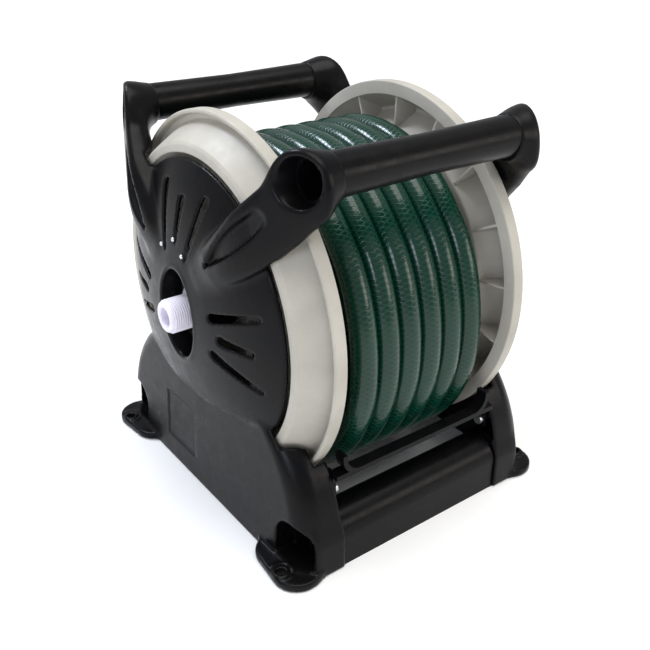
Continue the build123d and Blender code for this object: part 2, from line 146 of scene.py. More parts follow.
# ---- camera, light and floor --------------------------------------------------------------------
def aimed(name, data, place, aim):
    """An object at a place that looks at its aim."""
    pointer = link(bpy.data.objects.new(name, data))
    pointer.location = place
    pointer.rotation_euler = (Vector(aim) - Vector(place)).to_track_quat("-Z", "Y").to_euler()
    return pointer


LENS, SENSOR = 46.4, 36.0       # millimetres
CAMERA_PLACE, CAMERA_AIM = (-0.3726, -0.5159, 0.4505), (0.0094, 0.0, 0.1159)


def set_camera():
    data = bpy.data.cameras.new("view")
    data.lens = LENS
    data.sensor_width = SENSOR
    bpy.context.scene.camera = aimed("view", data, CAMERA_PLACE, CAMERA_AIM)


def area_light(name, place, aim, size, power, colour):
    data = bpy.data.lights.new(name, "AREA")
    data.shape = "RECTANGLE"
    data.size, data.size_y = size
    data.energy = power
    data.color = linear(colour)[:3]
    aimed(name, data, place, aim)


def set_light():
    world = bpy.data.worlds.new("studio")
    world.use_nodes = True
    background = world.node_tree.nodes["Background"]
    background.inputs["Color"].default_value = linear("#f7f9fc")
    background.inputs["Strength"].default_value = 0.55
    bpy.context.scene.world = world
    bpy.context.scene.view_settings.view_transform = "Standard"
    aim = (0.0, 0.0, 0.15)
    sun = bpy.data.lights.new("sky_panel", "SUN")
    sun.energy = 2.3
    sun.angle = math.radians(50)
    sun.color = linear("#fffdf8")[:3]
    aimed("sky_panel", sun, (0.1, -0.15, 1.0), (0.0, 0.0, 0.0))
    area_light("window", (-0.35, 0.75, 1.25), aim, (0.35, 0.25), 9.0, "#e6efff")
    area_light("side_fill", (-1.4, -0.7, 0.8), aim, (0.5, 0.5), 6.0, "#e8efff")
    area_light("front_fill", (1.0, -1.5, 0.7), aim, (0.9, 0.6), 7.0, "#fff6ea")


def floor_material():
    """Matt painted studio board: pale, even, with a faint mottle."""
    material, tree, shader = begin("studio_board_painted", Roughness=0.9, IOR=1.45)
    place = add(tree, "ShaderNodeTexCoord")
    mottle = add(tree, "ShaderNodeTexNoise", [(place.outputs["Object"], "Vector")], in_Scale=6.0,
                 in_Detail=3.0)
    colour = ramp(tree, mottle.outputs["Fac"], [(0.3, linear("#f3f3f3")), (0.7, linear("#f8f8f8"))])
    tree.links.new(colour.outputs["Color"], shader.inputs["Base Color"])
    return material


def lay_floor():
    """A floor that reaches far behind the reel, so that its edge is out of the front view."""
    mesh = bpy.data.meshes.new("floor")
    mesh.from_pydata([(-9, -6, 0), (9, -6, 0), (9, 30, 0), (-9, 30, 0)], [], [(0, 1, 2, 3)])
    board = link(bpy.data.objects.new("floor", mesh))
    mesh.materials.append(floor_material())


# ---- materials ----------------------------------------------------------------------------------
def moulded_plastic(name, dark, light, roughness, grain_mm, grain_depth_mm, shine=0.5):
    """Injection-moulded polypropylene: satin, with a fine spark-eroded grain and slow changes of tone."""
    material, tree, shader = begin(name, IOR=1.49, Specular_IOR_Level=shine)
    place = add(tree, "ShaderNodeTexCoord").outputs["Object"]
    flow = add(tree, "ShaderNodeTexNoise", [(place, "Vector")], in_Scale=22.0, in_Detail=4.0,
               in_Roughness=0.6)
    colour = ramp(tree, flow.outputs["Fac"], [(0.35, linear(dark)), (0.68, linear(light))])
    tree.links.new(colour.outputs["Color"], shader.inputs["Base Color"])
    scuffs = add(tree, "ShaderNodeTexNoise", [(place, "Vector")], in_Scale=90.0, in_Detail=5.0,
                 in_Roughness=0.7)
    gloss = ramp(tree, scuffs.outputs["Fac"], [(0.35, roughness[0]), (0.7, roughness[1])])
    tree.links.new(gloss.outputs["Color"], shader.inputs["Roughness"])
    grain = add(tree, "ShaderNodeTexNoise", [(place, "Vector")], in_Scale=1 / (grain_mm * MM), in_Detail=2.0)
    bump = add(tree, "ShaderNodeBump", [(grain.outputs["Fac"], "Height")], in_Strength=0.6,
               in_Distance=grain_depth_mm * MM)
    tree.links.new(bump.outputs["Normal"], shader.inputs["Normal"])
    return material


def acetal_material():
    """Natural acetal, moulded: milky white with a lilac cast, a little light goes into it."""
    material, tree, shader = begin("acetal_natural_moulded", IOR=1.48, Subsurface_Weight=0.25,
                                   Subsurface_Scale=0.004, Subsurface_Radius=(1.0, 0.9, 1.0))
    place = add(tree, "ShaderNodeTexCoord").outputs["Object"]
    cloud = add(tree, "ShaderNodeTexNoise", [(place, "Vector")], in_Scale=60.0, in_Detail=3.0)
    colour = ramp(tree, cloud.outputs["Fac"], [(0.3, linear("#dcd6e6")), (0.7, linear("#ece9f2"))])
    tree.links.new(colour.outputs["Color"], shader.inputs["Base Color"])
    gloss = ramp(tree, cloud.outputs["Fac"], [(0.3, 0.28), (0.7, 0.4)])
    tree.links.new(gloss.outputs["Color"], shader.inputs["Roughness"])
    bump = add(tree, "ShaderNodeBump", [(cloud.outputs["Fac"], "Height")], in_Strength=0.3,
               in_Distance=0.1 * MM)
    tree.links.new(bump.outputs["Normal"], shader.inputs["Normal"])
    return material


def zinc_material():
    """Steel, zinc plated: bright bluish metal with a fine crystalline mottle."""
    material, tree, shader = begin("steel_zinc_plated", Metallic=1.0)
    place = add(tree, "ShaderNodeTexCoord").outputs["Object"]
    spangle = add(tree, "ShaderNodeTexVoronoi", [(place, "Vector")], in_Scale=900.0)
    colour = ramp(tree, spangle.outputs["Distance"], [(0.1, linear("#b9bcc2")), (0.7, linear("#d8dade"))])
    tree.links.new(colour.outputs["Color"], shader.inputs["Base Color"])
    gloss = ramp(tree, spangle.outputs["Distance"], [(0.1, 0.22), (0.7, 0.4)])
    tree.links.new(gloss.outputs["Color"], shader.inputs["Roughness"])
    return material


def rubber_material():
    """Nitrile rubber, moulded: dull black with a dusty bloom."""
    material, tree, shader = begin("rubber_nitrile_moulded", IOR=1.52)
    place = add(tree, "ShaderNodeTexCoord").outputs["Object"]
    bloom = add(tree, "ShaderNodeTexNoise", [(place, "Vector")], in_Scale=300.0, in_Detail=4.0)
    colour = ramp(tree, bloom.outputs["Fac"], [(0.35, linear("#141414")), (0.7, linear("#232323"))])
    tree.links.new(colour.outputs["Color"], shader.inputs["Base Color"])
    gloss = ramp(tree, bloom.outputs["Fac"], [(0.35, 0.6), (0.7, 0.75)])
    tree.links.new(gloss.outputs["Color"], shader.inputs["Roughness"])
    return material


def hose_material():
    """Extruded flexible PVC over polyester braid: glossy, slightly clear skin, the threads showing below.

    UV is in metres, along the hose and round it. Eight threads go round it each way, 4 mm apart along it.
    """
    material, tree, shader = begin("pvc_flexible_extruded_over_braid", IOR=1.5, Coat_Weight=0.25,
                                   Specular_IOR_Level=0.3, Coat_Roughness=0.04, Coat_IOR=1.45)
    along = add(tree, "ShaderNodeUVMap", uv_map="run")
    parts = add(tree, "ShaderNodeSeparateXYZ", [(along.outputs["UV"], "Vector")])
    turns = BRAID_ROUND / HOSE_ROUND
    weave = []
    for sign in (-1, 1):
        slant = add(tree, "ShaderNodeMath", [(parts.outputs["X"], 0)], operation="MULTIPLY",
                    in_1=sign * BRAID_ALONG)
        whole = add(tree, "ShaderNodeMath", [(parts.outputs["Y"], 0), (slant.outputs[0], 2)],
                    operation="MULTIPLY_ADD", in_1=turns)
        wave = add(tree, "ShaderNodeMath", [(whole.outputs[0], 0)], operation="PINGPONG", in_1=0.5)
        thread = add(tree, "ShaderNodeMath", [(wave.outputs[0], 0)], operation="MULTIPLY", in_1=2.0)
        weave.append(thread)
    braid = add(tree, "ShaderNodeMath", [(thread.outputs[0], i) for i, thread in enumerate(weave)],
                operation="MAXIMUM")
    place = add(tree, "ShaderNodeTexCoord").outputs["Object"]
    dye = add(tree, "ShaderNodeTexNoise", [(place, "Vector")], in_Scale=14.0, in_Detail=3.0)
    tone = ramp(tree, dye.outputs["Fac"], [(0.3, linear("#02271c")), (0.7, linear("#053327"))])
    threads = ramp(tree, braid.outputs[0], [(0.72, 0.0), (0.95, 1.0)])
    share = add(tree, "ShaderNodeMath", [(threads.outputs["Color"], 0)], operation="MULTIPLY",
                in_1=THREAD_SHOW)
    mixed = add(tree, "ShaderNodeMix", [(share.outputs[0], "Factor"), (tone.outputs["Color"], 6)],
                data_type="RGBA", in_7=linear("#0f5542"))
    tree.links.new(mixed.outputs[2], shader.inputs["Base Color"])
    smear = add(tree, "ShaderNodeTexNoise", [(place, "Vector")], in_Scale=60.0, in_Detail=3.0)
    gloss = ramp(tree, smear.outputs["Fac"], [(0.35, 0.18), (0.7, 0.25)])
    tree.links.new(gloss.outputs["Color"], shader.inputs["Roughness"])
    bump = add(tree, "ShaderNodeBump", [(threads.outputs["Color"], "Height")], in_Strength=0.5,
               in_Distance=0.15 * MM)
    tree.links.new(bump.outputs["Normal"], shader.inputs["Normal"])
    return material


HOSE_D = 0.0203
HOSE_ROUND = math.pi * HOSE_D
BRAID_ROUND = 8         # threads round the hose, each way
BRAID_ALONG = 260.0     # threads in a metre of it
THREAD_SHOW = 0.3       # how much of the threads' colour comes through the skin

black_pp = moulded_plastic("polypropylene_black_moulded", "#060609", "#0c0b0b", roughness=(0.25, 0.4),
                           grain_mm=0.9, grain_depth_mm=0.04, shine=0.13)
grey_pp = moulded_plastic("polypropylene_warm_grey_moulded", "#a9a59b", "#b8b4aa", roughness=(0.4, 0.56),
                          grain_mm=0.8, grain_depth_mm=0.06, shine=0.4)
connector_abs = moulded_plastic("abs_black_moulded", "#19191b", "#232326", roughness=(0.25, 0.4),
                                grain_mm=0.6, grain_depth_mm=0.03)
acetal = acetal_material()
zinc = zinc_material()
rubber = rubber_material()
pvc = hose_material()
FINISH = {"black_polypropylene": black_pp, "grey_polypropylene": grey_pp, "white_acetal": acetal,
          "connector_plastic": connector_abs, "zinc_steel": zinc, "rubber_black": rubber, "hose_pvc": pvc}


def finish_nodes():
    """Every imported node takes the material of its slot."""
    for part in frame["record"]["subparts"]:
        mesh = nodes[part["node"]].data
        mesh.materials.clear()
        mesh.materials.append(FINISH[part["material_slot"]])


# ---- hose ---------------------------------------------------------------------------------------
TAIL_R = 0.08915        # inner layer's middle line
OUTER_LAYER = (         # turn in degrees, radius of the hose's middle line in millimetres
    (0, 109.4), (45, 109.2), (75, 115.5), (90, 120.8), (112, 129.6), (135, 137.8), (158, 141.0),
    (180, 139.5), (215, 133.5), (250, 127.0), (285, 121.0), (320, 113.5))
OUTLET_TURN = 210.0
OUTLET_X = -0.057
PITCH = 0.0203
CLIMB_START, CLIMB_END = 2300.0, 2440.0     # turns, counted on from the outlet, where the hose climbs a layer
OUTER_FIRST = 2565.0    # the turn at which the outer layer's first pass is at OUTER_X
OUTER_X = 0.0579
OUTER_PITCH = 0.02028
END_TURN = 4552.0
END_SHIFT = -0.003      # how far the last stretch leans off its own turn, clear of the one beside it
STEP = 15.0             # degrees from one control point to the next
OUTLET_LEAD, OUTLET_RUN = 0.014, 0.030      # straight run out of the outlet: where it starts and ends
FIRST_TURN, LAST_TURN = 36, 22              # degrees left free after the outlet and before the connector
END_RUN = 0.018         # straight run into the connector


def layer_r(turn):
    """The outer layer's middle radius, in metres: tight on top and loose below."""
    turn = turn % 360
    for i, (a0, r0) in enumerate(OUTER_LAYER):
        a1, r1 = OUTER_LAYER[(i + 1) % len(OUTER_LAYER)]
        a1 += 360 if a1 <= a0 else 0
        if a0 <= turn <= a1:
            return (r0 + (r1 - r0) * smoothstep((turn - a0) / (a1 - a0))) * MM


def round_point(x, turn, r, ahead=0.0):
    """The point at a turn and radius, moved ahead along the hose's tangent."""
    a = math.radians(turn)
    return Vector((x, -r * math.sin(a) - ahead * math.cos(a), AXIS_Z + r * math.cos(a) - ahead * math.sin(a)))


def wound_x(turn):
    """How far along the drum the hose is at a turn counted on from the outlet."""
    inner = OUTLET_X + PITCH * (turn - OUTLET_TURN - 9) / 360
    outer = OUTER_X - OUTER_PITCH * (turn - OUTER_FIRST) / 360
    outer += END_SHIFT * smoothstep((turn - END_TURN + 90) / 80)
    part = smoothstep((turn - CLIMB_START) / (CLIMB_END - CLIMB_START))
    return inner + (outer - inner) * part


def wound_r(turn):
    """The hose's middle radius at a turn counted on from the outlet."""
    part = smoothstep((turn - CLIMB_START) / (CLIMB_END - CLIMB_START))
    return TAIL_R + (layer_r(turn) - TAIL_R) * part


def hose_route():
    """Control points of the wound hose: out of the outlet, the inner layer, then the outer layer back."""
    swell = 4 / (3 + math.cos(math.radians(STEP)))      # a control point lies this far outside its circle
    exit_point = round_point(OUTLET_X, OUTLET_TURN, TAIL_R, OUTLET_LEAD)
    points = [exit_point, round_point(OUTLET_X, OUTLET_TURN, TAIL_R, OUTLET_RUN)]
    turn = OUTLET_TURN + FIRST_TURN
    while turn < END_TURN - LAST_TURN:
        points.append(round_point(wound_x(turn), turn, wound_r(turn) * swell))
        turn += STEP
    for back in (END_RUN, 0.0):
        points.append(round_point(wound_x(END_TURN), END_TURN, layer_r(END_TURN), -back))
    return exit_point, points


def spline_points(points, resolution):
    """The smooth line through a route, read from its NURBS spline."""
    curve = bpy.data.curves.new("route", "CURVE")
    curve.dimensions = "3D"
    curve.resolution_u = resolution
    spline = curve.splines.new("NURBS")
    spline.points.add(len(points) - 1)
    for target, point in zip(spline.points, points):
        target.co = (*point, 1.0)
    spline.order_u = 3
    spline.use_endpoint_u = True
    route = link(bpy.data.objects.new("route", curve))
    line = settled(route)
    found = [v.co.copy() for v in line.vertices]
    bpy.data.objects.remove(route)
    bpy.data.meshes.remove(line)
    return found


def tube_mesh(name, line, radius, sides):
    """A closed tube round a line, with UVs in metres along it and round it."""
    bm = bmesh.new()
    rings = []
    for i, centre in enumerate(line):
        ahead = line[min(i + 1, len(line) - 1)] - line[max(i - 1, 0)]
        ahead.normalize()
        side = Vector((1, 0, 0)) - ahead * ahead.x
        side.normalize()
        up = ahead.cross(side)
        rings.append([bm.verts.new(centre + radius * (math.cos(a) * side + math.sin(a) * up))
                      for a in (2 * math.pi * k / sides for k in range(sides))])
    layer = bm.loops.layers.uv.new("run")
    run = 0.0
    for i in range(len(line) - 1):
        length = (line[i + 1] - line[i]).length
        for k in range(sides):
            n = (k + 1) % sides
            face = bm.faces.new((rings[i][k], rings[i][n], rings[i + 1][n], rings[i + 1][k]))
            face.smooth = True
            place = ((run, k), (run, k + 1), (run + length, k + 1), (run + length, k))
            for loop, (u, v) in zip(face.loops, place):
                loop[layer].uv = (u, v / sides * HOSE_ROUND)
        run += length
    bm.faces.new(list(reversed(rings[0])))
    bm.faces.new(rings[-1])
    bmesh.ops.recalc_face_normals(bm, faces=bm.faces)
    return mesh_of(bm, name), run


def wind_hose(end_connector):
    """The hose on the drum, as a cord that ends in its connector."""
    exit_point, points = hose_route()
    line = spline_points(points, 6)
    mesh, length = tube_mesh("garden_hose", line, HOSE_D / 2, 20)
    mesh.materials.append(pvc)
    hose = link(bpy.data.objects.new("garden_hose", mesh))
    print("hose length", round(length, 3), "rings", len(line), "exit", [round(c, 4) for c in exit_point])
    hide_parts("hose_winding")
    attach(hose, "drum")


# ---- side frame ---------------------------------------------------------------------------------
# The left frame is worked out as a field of distances on a grid, in millimetres, with u = -x outwards, so
# that its walls flow into each other with the soft fillets of a moulding; the skin is then drawn round it.
CELL = 1.25
FRAME_TRIANGLES = 180000
WALL = 3.0
AXIS_MM = 168.0                             # the drum axis' height
DOME_R = 114.5
DOME_CROWN, DOME_FALL, DOME_ROLL = 130.0, 0.001417, 3.086e-8    # the dome's skin, a polynomial of the radius
DOME_BASE_U = 103.5                         # where the dome's rim ends inwards
BROW_Z, BROW_RISE, BROW_Y = 97.0, 11.0, 94.0    # the dome's lower edge: an arc, highest at its ends
OVAL_Y, OVAL_Z = 24.0, 35.0                 # the inlet recess: half width and half height
OVAL_FLOOR_U = 111.0
HUB_R, HUB_U, HUB_BORE = 20.0, 88.0, 13.2   # radius, inner end and bore of the hub behind the recess
HOOD_U, HOOD_Z, HOOD_ROUND = 80.0, 112.0, 17.0  # the pedestal's inner face, top and corner radius
HOLLOW_Z, HOLLOW_ROUND = 106.0, 14.0        # and its hollow's ceiling and corner radius
PEDESTAL = (        # height, u of the wall, half length
    (0, 117.5, 144.0), (21, 116.0, 143.0), (45, 114.5, 141.0), (78, 112.5, 127.0), (110, 111.5, 98.0))
RAIL_Y, RAIL_Z, RAIL_R = 124.5, 25.5, 18.5  # the rails' arched section: middle, spring line and radius
SEAT_U0, SEAT_U1 = 95.8, 119.0              # the wall that closes the arch round a rail's end
COLLAR_U, COLLAR_Z, COLLAR_PROUD = 104.0, 60.0, 1.4     # the thicker wall round the arch
ARCH_OPEN_U0, ARCH_OPEN_U1 = 40.0, 96.2     # where the arch is open for the rail
POCKET_U, POCKET_Z = 98.8, 7.0              # the open pocket outside that wall
LUG_U, LUG_SLANT, LUG_Y, LUG_RUN = 112.0, 2.5, 129.5, 24.5      # middle line of the foot lug
LUG_R, LUG_THICK = 20.0, 7.0
FOOT_U, FOOT_Y, FOOT_R = 125.0, 127.0, 3.5  # foot screw hole
CRESCENT_R, CRESCENT_HALF, CRESCENT_Z = 9.0, 0.8, 8.2
BOSS_R, BOSS_Z = 6.2, 8.5
ARM_RISE = math.radians(36.0)
ARM_START = (-26.0, 203.0)                  # y, z where the front arm grows out of the dome
ARM_STATIONS = (    # along the arm, sideways, u of its middle, half width, half depth
    (12, 0.5, 112.0, 17.5, 14.5), (30, 1.5, 113.0, 19.5, 14.5), (75, 4.5, 111.5, 21.5, 14.5),
    (105, 8.0, 105.0, 21.5, 15.5), (125, 12.0, 99.0, 21.0, 16.0))
ARM_POWER, ARM_END = 2.7, 17.0              # how square the arm's section is, and how far its ends reach on
HORN_SCALE = 14.0                           # turns the horn's own measure into about a millimetre
HANDLE_Y, HANDLE_Z, MOUTH_Z = 122.0, 295.5, 296.0
SLEEVE_U, SLEEVE_R = (77, 84, 98, 106), (15.6, 16.2, 18.4, 18.8)
BORE_U, BORE_R = (77, 86, 96, 106, 114), (13.2, 13.6, 15.2, 16.8, 18.0)
LEAF_TIP, LEAF_LENGTH, LEAF_DEPTH = (-46.5, 222.5), 66.0, 5.0
LEAF_RUN = (0.732, 0.682)                   # forwards and up, per millimetre of leaf
LEAF_NARROW, LEAF_WIDE, LEAF_EDGE = 1.2, 8.2, 4.5   # half width at the tip, what it gains, width of its slope
LEAF_HOLE_R, LEAF_HOLE_U = 1.9, 112.0
MOUTH_FACE = (0.925, -0.37, 0.08)           # which way the arm's open mouth faces, along u, y and z
MOUTH_U = 101.0                             # where the arm's open mouth cuts the handle's axis
VENTS = ((-17, 50, 96), (0, 57, 87), (17, 50, 96))      # in each set: turn in degrees, inner and outer radius
VENT_SETS = (0, 90, 180)                    # rear, top and front
VENT_TIP, VENT_SWELL = 1.3, 2.1             # half width at the narrow end, and what it gains
VENT_GROOVE, VENT_THROUGH = 1.5, 7.0        # depth at the closed end, and what it gains where it is open
FLANGE_ROOM_R, FLANGE_ROOM_U = 148.0, 91.5  # room kept free for the turning flange's rim
CONE_U, CONE_R = (91, 107.6), (135, 126.5)  # and for its cone
LABEL_Y, LABEL_Z, LABEL_HALF_Y, LABEL_HALF_Z = 40.0, 43.0, 24.0, 22.0


def blend_min(a, b, k):
    """Union with a fillet of about k."""
    h = np.clip(0.5 + 0.5 * (b - a) / k, 0, 1)
    return b + (a - b) * h - k * h * (1 - h)


def blend_max(a, b, k):
    """Intersection with an edge rounded by about k."""
    return -blend_min(-a, -b, k)


def rounded_corner(a, b, r):
    """Both a < 0 and b < 0, with the corner between them a true arc."""
    return np.hypot(np.maximum(a + r, 0), np.maximum(b + r, 0)) + np.minimum(np.maximum(a + r, b + r), 0) - r


def overlap(*fields):
    """What lies in every one of the fields."""
    whole = fields[0]
    for field in fields[1:]:
        whole = np.maximum(whole, field)
    return whole


def dome_u(r):
    """How far out the dome's skin is at a radius."""
    return DOME_CROWN - DOME_FALL * r ** 2 - DOME_ROLL * r ** 4


def arm_field(u, side_y, z):
    """The front arm with the sleeve that holds the handle; side_y is negative at the arm's own side."""
    along = -(side_y - ARM_START[0]) * math.cos(ARM_RISE) + (z - ARM_START[1]) * math.sin(ARM_RISE)
    across = (side_y - ARM_START[0]) * math.sin(ARM_RISE) + (z - ARM_START[1]) * math.cos(ARM_RISE)
    s, w0, u0, half_w, half_d = (np.array(column, float) for column in zip(*ARM_STATIONS))
    held = np.clip(along, s[0], s[-1])
    half_width, half_depth = np.interp(held, s, half_w), np.interp(held, s, half_d)
    depth = np.abs((u - np.interp(held, s, u0)) / half_depth)
    width = np.abs((across - np.interp(held, s, w0)) / half_width)
    ends = np.abs(along - held) / ARM_END
    horn = (depth ** ARM_POWER + width ** ARM_POWER + ends ** ARM_POWER) ** (1 / ARM_POWER) - 1
    horn = horn * HORN_SCALE
    from_handle = np.hypot(side_y + HANDLE_Y, z - HANDLE_Z)
    sleeve = np.maximum(from_handle - np.interp(u, SLEEVE_U, SLEEVE_R), SLEEVE_U[0] - u)
    body = blend_min(horn, sleeve, 14.0)
    face_u, face_y, face_z = MOUTH_FACE
    mouth = (u - MOUTH_U) * face_u + (side_y + HANDLE_Y) * face_y + (z - MOUTH_Z) * face_z
    body = blend_max(body, mouth, 5.0)
    bore = from_handle - np.interp(u, BORE_U, BORE_R)
    body = blend_max(body, -bore, 2.0)
    # the scooped leaf on the arm's outer face, narrow at its tip
    leaf_along = -(side_y - LEAF_TIP[0]) * LEAF_RUN[0] + (z - LEAF_TIP[1]) * LEAF_RUN[1]
    leaf_across = (side_y - LEAF_TIP[0]) * LEAF_RUN[1] + (z - LEAF_TIP[1]) * LEAF_RUN[0]
    held = np.clip(leaf_along, 0, LEAF_LENGTH)
    wide = LEAF_NARROW + LEAF_WIDE * np.sin(np.pi * (held / LEAF_LENGTH) ** 0.8 * 0.72)
    leaf = np.hypot(leaf_along - held, leaf_across) - wide
    scoop = np.clip(-leaf / LEAF_EDGE, 0, 1) * np.clip((u - 108) / 6, 0, 1)
    body = body + LEAF_DEPTH * scoop * scoop * (3 - 2 * scoop)
    leaf_hole = np.hypot(side_y - LEAF_TIP[0] + 0.5, z - LEAF_TIP[1] - 0.5) - LEAF_HOLE_R
    return blend_max(body, -np.maximum(leaf_hole, LEAF_HOLE_U - u), 0.8)


def vent_field(y, z, middle, turn, r0, r1):
    """A drop-shaped outline on the dome; the angle is from the rear towards the top."""
    angle = math.radians(middle + turn)
    along = y * math.cos(angle) + (z - AXIS_MM) * math.sin(angle)
    across = -y * math.sin(angle) + (z - AXIS_MM) * math.cos(angle)
    part = np.clip((along - r0) / (r1 - r0), 0, 1)
    wide = VENT_TIP + VENT_SWELL * (part if middle == 90 else 1 - 0.7 * part)
    return np.hypot(across, along - (r0 + part * (r1 - r0))) - wide, part


def frame_field(x, y, z):
    """The whole left frame: pedestal with its lugs and rail seats, arms, dome with its vents, and the hub."""
    u = -x
    from_axis = np.hypot(y, z - AXIS_MM)
    slope = 1 / np.sqrt(1 + (2 * DOME_FALL * from_axis + 4 * DOME_ROLL * from_axis ** 3) ** 2)
    skin = (u - dome_u(from_axis)) * slope
    # pedestal: an open-bottomed hood, wider towards the ground
    levels, outs, halves = (np.array(column, float) for column in zip(*PEDESTAL))
    past_end = (np.abs(y) - np.polyval(np.polyfit(levels, halves, 3), z)) * 0.93
    past_wall = u - np.polyval(np.polyfit(levels, outs, 2), z)
    hood = rounded_corner(past_end, past_wall, HOOD_ROUND)
    hood = blend_max(hood, np.maximum(HOOD_U - u, z - HOOD_Z), 2.0)
    hollow = np.maximum(rounded_corner(past_end + WALL, past_wall + WALL, HOLLOW_ROUND), z - HOLLOW_Z)
    pedestal = blend_max(hood, -hollow, 0.8)
    side_y = -np.abs(y)
    arch_y = np.abs(np.abs(y) - RAIL_Y)
    arch = np.where(z > RAIL_Z, np.hypot(arch_y, z - RAIL_Z), arch_y) - RAIL_R
    arch = np.maximum(arch, z - RAIL_Z - RAIL_R)
    seat = overlap(arch, -arch - WALL, np.maximum(SEAT_U0 - u, u - SEAT_U1), hood)
    pedestal = np.minimum(pedestal, seat)
    collar = overlap(arch - COLLAR_PROUD, -arch + 0.2, HOOD_U - u, u - COLLAR_U, z - COLLAR_Z)
    pedestal = blend_min(pedestal, collar, 5.0)
    pocket = overlap(arch + 1.2, POCKET_U - u, POCKET_Z - z)
    pedestal = blend_max(pedestal, -pocket, 1.5)
    pedestal = np.maximum(pedestal, -overlap(arch - 0.1, u - ARCH_OPEN_U1, ARCH_OPEN_U0 - u))
    # foot lugs, each with a raised crescent round its screw hole
    t = np.clip((side_y + LUG_Y) / LUG_RUN, 0, 1)
    plan = np.hypot(u - (LUG_U - LUG_SLANT * t), side_y + LUG_Y - LUG_RUN * t) - LUG_R
    lug = blend_max(plan, np.maximum(z - LUG_THICK, -z), 1.6)
    to_hole = np.hypot(u - FOOT_U, side_y + FOOT_Y)
    crescent = overlap(np.abs(to_hole - CRESCENT_R) - CRESCENT_HALF, z - CRESCENT_Z, u - FOOT_U - 2.5)
    boss = np.maximum(to_hole - BOSS_R, z - BOSS_Z)
    lug = blend_min(np.minimum(lug, crescent), boss, 1.2)
    pedestal = blend_min(pedestal, lug, 3.0)
    # arms, front and rear alike
    arms = arm_field(u, side_y, z)
    outside = np.minimum(pedestal, arms)
    flange_room = np.minimum(np.maximum(from_axis - FLANGE_ROOM_R, u - FLANGE_ROOM_U),
                             np.maximum(from_axis - np.interp(u, CONE_U, CONE_R), u - CONE_U[1]))
    outside = blend_max(outside, -flange_room, 1.2)
    # label recess, left blank
    label = np.maximum(np.abs(y - LABEL_Y) - LABEL_HALF_Y, np.abs(z - LABEL_Z) - LABEL_HALF_Z)
    outside = np.maximum(outside, -np.maximum(label, -(past_wall + 1.0)))
    # dome
    brow = (BROW_Z + BROW_RISE * (y / BROW_Y) ** 2 - z) * 0.97
    whole = blend_max(blend_max(skin, from_axis - DOME_R, 3.0), np.maximum(brow, DOME_BASE_U - u), 4.0)
    inside = overlap(skin + WALL, from_axis - DOME_R + WALL, brow + WALL)
    shell = np.maximum(whole, -inside)
    frame_all = blend_min(outside, shell, 3.5)
    frame_all = np.maximum(frame_all, -inside)      # keeps the dome's inside open under the arms
    # inlet recess, hub and its bore
    oval = (np.sqrt((y / OVAL_Y) ** 2 + ((z - AXIS_MM) / OVAL_Z) ** 2) - 1) * 27.0
    cup = overlap(oval - WALL, skin, OVAL_FLOOR_U - WALL - u)
    frame_all = blend_min(frame_all, cup, 1.5)
    frame_all = blend_max(frame_all, -np.maximum(oval, OVAL_FLOOR_U - u), 2.2)
    hub = overlap(from_axis - HUB_R, HUB_U - u, u - OVAL_FLOOR_U)
    frame_all = blend_min(frame_all, hub, 1.5)
    frame_all = np.maximum(frame_all, -(from_axis - HUB_BORE))
    for middle in VENT_SETS:
        for turn, r0, r1 in VENTS:
            outline, part = vent_field(y, z, middle, turn, r0, r1)
            opened = part if middle == 90 else 1 - part
            deep = VENT_GROOVE + VENT_THROUGH * np.clip((opened - 0.22) / 0.06, 0, 1)
            frame_all = blend_max(frame_all, -np.maximum(outline, -(skin + deep)), 0.8)
    frame_all = np.maximum(frame_all, -np.maximum(to_hole - FOOT_R, z - 20))
    return np.maximum(frame_all, -z)


def skin_of(field, low, cell):
    """The surface where a field of distances is nought, as points and quads facing outwards."""
    inside = field < 0
    count = np.zeros(tuple(n - 1 for n in field.shape), np.int8)
    corners = [(i, j, k) for i in (0, 1) for j in (0, 1) for k in (0, 1)]
    nx, ny, nz = count.shape
    for i, j, k in corners:
        count += inside[i:i + nx, j:j + ny, k:k + nz]
    cells = np.argwhere((count > 0) & (count < 8))
    number = np.full(count.shape, -1, np.int64)
    number[tuple(cells.T)] = np.arange(len(cells))
    total, hits = np.zeros((len(cells), 3)), np.zeros(len(cells))
    for a in corners:
        for axis in range(3):
            if a[axis]:
                continue
            b = tuple(c + (n == axis) for n, c in enumerate(a))
            fa, fb = field[tuple((cells + a).T)], field[tuple((cells + b).T)]
            crossed = (fa < 0) != (fb < 0)
            share = np.where(crossed, fa / np.where(crossed, fa - fb, 1), 0)
            total += crossed[:, None] * (np.array(a) + share[:, None] * (np.array(b) - np.array(a)))
            hits += crossed
    points = np.array(low) + cell * (cells + total / hits[:, None])
    quads = []
    for axis in range(3):
        p, q = (axis + 1) % 3, (axis + 2) % 3
        first = tuple(slice(1, -1) if n != axis else slice(None, -1) for n in range(3))
        second = tuple(slice(1, -1) if n != axis else slice(1, None) for n in range(3))
        a, b = inside[first], inside[second]
        for start, flip in ((a & ~b, False), (~a & b, True)):
            at = np.argwhere(start)
            at[:, p] += 1
            at[:, q] += 1
            ring = []
            for dp, dq in ((-1, -1), (0, -1), (0, 0), (-1, 0)):
                cell_at = at.copy()
                cell_at[:, p] += dp
                cell_at[:, q] += dq
                ring.append(number[tuple(cell_at.T)])
            quads.append(np.stack(ring[::-1] if flip else ring, 1))
    return points, np.concatenate(quads)


